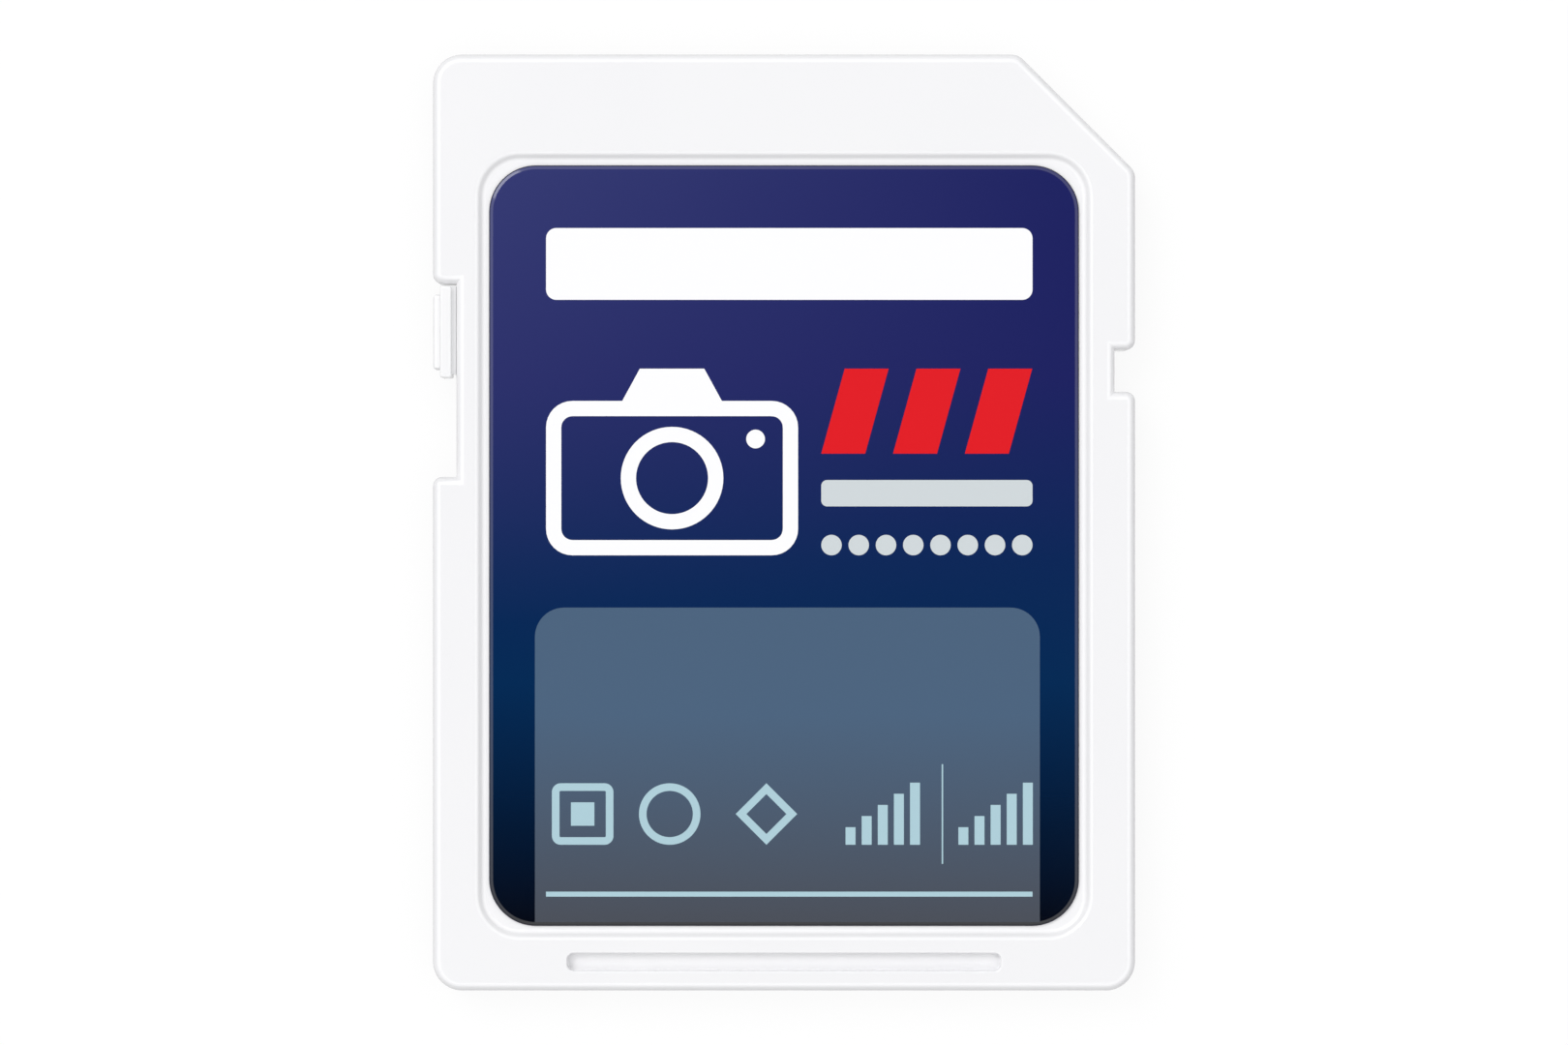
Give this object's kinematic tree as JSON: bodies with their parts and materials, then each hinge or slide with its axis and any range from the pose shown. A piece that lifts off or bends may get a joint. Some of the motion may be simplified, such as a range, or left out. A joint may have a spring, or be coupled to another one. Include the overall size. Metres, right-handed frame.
{
  "type": "memory card",
  "caption": "Flat memory card with a cut corner, side rails, a latch notch, a sliding write-lock tab, a recessed front label and gold contacts in a comb on its back.",
  "frame": {"origin": "centre of the back face, on which the card lies", "axes": "+X across the card to the latch notch, +Y along it to the contact end, +Z out of the labelled front"},
  "size_m": [0.024, 0.032, 0.0021],
  "materials": {
    "shell_white": "fine satin moulded plastic",
    "slider_white": "smooth moulded plastic",
    "label_film": "printed film with a clear gloss coat",
    "board_mask": "solder mask",
    "contact_gold": "gold plate",
    "package_black": "moulded resin",
    "capacitor_ceramic": "ceramic with tinned ends",
    "resistor_film": "glazed film with tinned ends"
  },
  "bodies": {
    "housing": {"front_shell": "shell_white", "back_shell": "shell_white", "front_label": "label_film", "circuit_board": "board_mask", "flash_memory": "package_black", "controller": "package_black", "contact_1": "contact_gold", "contact_2": "contact_gold", "contact_3": "contact_gold", "contact_4": "contact_gold", "contact_5": "contact_gold", "contact_6": "contact_gold", "contact_7": "contact_gold", "contact_8": "contact_gold", "contact_9": "contact_gold", "capacitor_1": "capacitor_ceramic", "capacitor_2": "capacitor_ceramic", "capacitor_3": "capacitor_ceramic", "capacitor_4": "capacitor_ceramic", "capacitor_5": "capacitor_ceramic", "capacitor_6": "capacitor_ceramic", "resistor_1": "resistor_film", "resistor_2": "resistor_film", "resistor_3": "resistor_film", "resistor_4": "resistor_film"},
    "lock": {"lock_slider": "slider_white"}
  },
  "joints": [
    {"name": "lock_slide", "type": "slide", "parent": "housing", "child": "lock", "axis": [0, -1, 0], "range_m": [0, 0.00331]}
  ]
}
